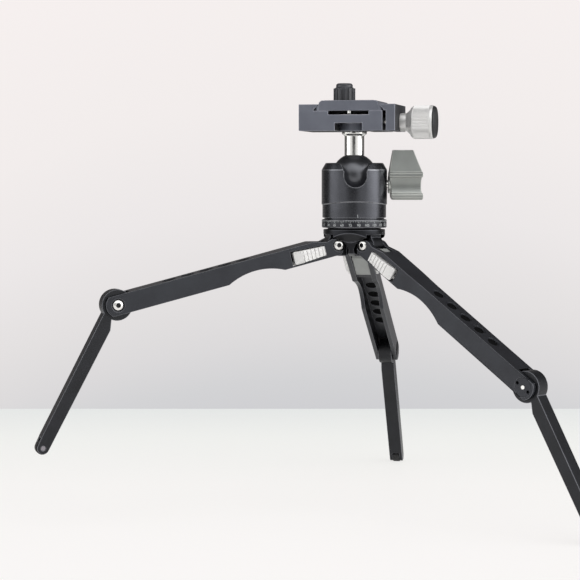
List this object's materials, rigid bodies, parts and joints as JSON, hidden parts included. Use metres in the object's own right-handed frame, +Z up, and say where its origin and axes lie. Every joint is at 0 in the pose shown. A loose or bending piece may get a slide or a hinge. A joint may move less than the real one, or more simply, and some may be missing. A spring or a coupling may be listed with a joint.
{
  "type": "tabletop tripod",
  "caption": "Folding tabletop tripod: a ball head with a quick-release clamp on a hub with jointed metal legs.",
  "frame": {"origin": "point under the head axis, in the plane of the two lower feet", "axes": "+Z up along the head axis, towards the camera seat; -Y to the front, the side of the drop notch; +X to the side of the wing knob"},
  "size_m": [0.2925, 0.2714, 0.2329],
  "materials": {
    "leg_black": "matte anodised, fine bead-blasted",
    "head_black": "satin anodised",
    "clamp_grey": "satin anodised, bluish dark grey",
    "silver": "clear anodised",
    "titanium_grey": "titanium-grey anodised",
    "slider_grey": "grey anodised",
    "steel": "bright steel",
    "spring_steel": "plain spring steel",
    "ball_grey": "satin grey anodised",
    "bearing_plastic": "low-friction plastic",
    "rubber": "matte rubber"
  },
  "bodies": {
    "base": {"hub": "head_black", "head_bolt": "steel", "hub_set_screw": "steel", "pan_base": "head_black", "hip_screws_left": "steel", "hip_screws_right": "steel", "hip_screws_back": "steel"},
    "leg_left": {"upper_leg_left": "leg_black", "knee_screw_left": "steel", "knee_nut_left": "leg_black", "lock_spring_left": "spring_steel"},
    "lock_left": {"lock_slider_left": "slider_grey", "lock_pads_left": "silver"},
    "shank_left": {"lower_leg_left": "leg_black", "foot_pin_left": "steel", "foot_pad_left": "rubber"},
    "leg_right": {"upper_leg_right": "leg_black", "knee_screw_right": "steel", "knee_nut_right": "leg_black", "lock_spring_right": "spring_steel"},
    "lock_right": {"lock_slider_right": "slider_grey", "lock_pads_right": "silver"},
    "shank_right": {"lower_leg_right": "leg_black", "foot_pin_right": "steel", "foot_pad_right": "rubber"},
    "leg_back": {"upper_leg_back": "leg_black", "knee_screw_back": "steel", "knee_nut_back": "leg_black", "lock_spring_back": "spring_steel"},
    "lock_back": {"lock_slider_back": "slider_grey", "lock_pads_back": "silver"},
    "shank_back": {"lower_leg_back": "leg_black", "foot_pin_back": "steel", "foot_pad_back": "rubber"},
    "head": {"pan_washer": "bearing_plastic", "housing": "head_black", "ball_seat": "bearing_plastic", "lock_plunger": "bearing_plastic"},
    "lock_knob": {"wing_knob": "titanium_grey", "lock_screw": "steel"},
    "ball_joint": {"ball": "ball_grey"},
    "post": {"stem": "steel"},
    "clamp": {"clamp_body": "clamp_grey", "clamp_bolt": "steel", "guide_pins": "steel", "jaw_springs": "spring_steel"},
    "jaw": {"clamp_jaw": "clamp_grey"},
    "clamp_screw_set": {"clamp_screw": "steel", "knob_collar": "steel", "clamp_knob": "silver", "knob_cap": "head_black"},
    "plate": {"dovetail_plate": "clamp_grey", "plate_pad": "rubber", "stop_screws": "steel"},
    "retainer": {"screw_retainer": "steel"},
    "screw": {"camera_screw": "steel"},
    "cap": {"screw_cap": "rubber"}
  },
  "joints": [
    {"name": "hip_left", "type": "hinge", "parent": "base", "child": "leg_left", "pos_m": [-0.01065, -0.00346, 0.14497], "axis": [0.309, -0.9511, 0], "range_deg": [0, 74.2]},
    {"name": "lock_slide_left", "type": "slide", "parent": "leg_left", "child": "lock_left", "axis": [-0.9236, -0.3001, -0.2385], "range_m": [0, 0.001], "stiffness_N_per_m": 300, "springref_m": -0.004},
    {"name": "knee_left", "type": "hinge", "parent": "leg_left", "child": "shank_left", "pos_m": [-0.12703, -0.04127, 0.11492], "axis": [0.309, -0.9511, 0], "range_deg": [-47.9, 128.1]},
    {"name": "hip_right", "type": "hinge", "parent": "base", "child": "leg_right", "pos_m": [0.00832, -0.00749, 0.14497], "axis": [0.6691, 0.7431, 0], "range_deg": [-19.4, 54.8]},
    {"name": "lock_slide_right", "type": "slide", "parent": "leg_right", "child": "lock_right", "axis": [0.6218, -0.5599, -0.5476], "range_m": [0, 0.001], "stiffness_N_per_m": 300, "springref_m": -0.004},
    {"name": "knee_right", "type": "hinge", "parent": "leg_right", "child": "shank_right", "pos_m": [0.08668, -0.07804, 0.07598], "axis": [0.6691, 0.7431, 0], "range_deg": [-26.3, 149.7]},
    {"name": "hip_back", "type": "hinge", "parent": "base", "child": "leg_back", "pos_m": [0.00233, 0.01095, 0.14497], "axis": [-0.9781, 0.2079, 0], "range_deg": [-19.4, 54.8]},
    {"name": "lock_slide_back", "type": "slide", "parent": "leg_back", "child": "lock_back", "axis": [0.174, 0.8185, -0.5476], "range_m": [0, 0.001], "stiffness_N_per_m": 300, "springref_m": -0.004},
    {"name": "knee_back", "type": "hinge", "parent": "leg_back", "child": "shank_back", "pos_m": [0.02425, 0.11408, 0.07598], "axis": [-0.9781, 0.2079, 0], "range_deg": [-26.3, 149.7]},
    {"name": "pan", "type": "hinge", "parent": "base", "child": "head", "pos_m": [0, 0, 0.15887], "axis": [0, 0, 1], "continuous": true},
    {"name": "ball_lock_turn", "type": "hinge", "parent": "head", "child": "lock_knob", "pos_m": [0.0184, 0, 0.17767], "axis": [1, 0, 0], "range_deg": [-30, 180]},
    {"name": "ball_roll", "type": "hinge", "parent": "head", "child": "ball_joint", "pos_m": [0, 0, 0.18237], "axis": [0, 1, 0], "range_deg": [-18, 15]},
    {"name": "ball_tilt", "type": "hinge", "parent": "ball_joint", "child": "post", "pos_m": [0, 0, 0.18237], "axis": [1, 0, 0], "range_deg": [-18, 90]},
    {"name": "ball_spin", "type": "hinge", "parent": "post", "child": "clamp", "pos_m": [0, 0, 0.20667], "axis": [0, 0, 1], "continuous": true},
    {"name": "jaw_slide", "type": "slide", "parent": "clamp", "child": "jaw", "axis": [0.9774, -0.2113, 0], "range_m": [0, 0.0024]},
    {"name": "clamp_knob_turn", "type": "hinge", "parent": "jaw", "child": "clamp_screw_set", "pos_m": [0.02473, -0.00535, 0.21157], "axis": [0.9774, -0.2113, 0], "range_deg": [0, 1080]},
    {"name": "plate_slide", "type": "slide", "parent": "clamp", "child": "plate", "axis": [0.2113, 0.9774, 0], "range_m": [-0.012, 0.012]},
    {"name": "screw_shift", "type": "slide", "parent": "plate", "child": "retainer", "axis": [0.9774, -0.2113, 0], "range_m": [-0.0002, 0.0114]},
    {"name": "camera_screw_turn", "type": "hinge", "parent": "retainer", "child": "screw", "pos_m": [-0.00547, 0.00118, 0.22297], "axis": [0, 0, 1], "continuous": true},
    {"name": "cap_lift", "type": "slide", "parent": "screw", "child": "cap", "axis": [0, 0, 1], "range_m": [0, 0.014]}
  ],
  "couplings": [
    {"joint": "clamp_knob_turn", "follows": "jaw_slide", "rad_per_m": 7854}
  ]
}
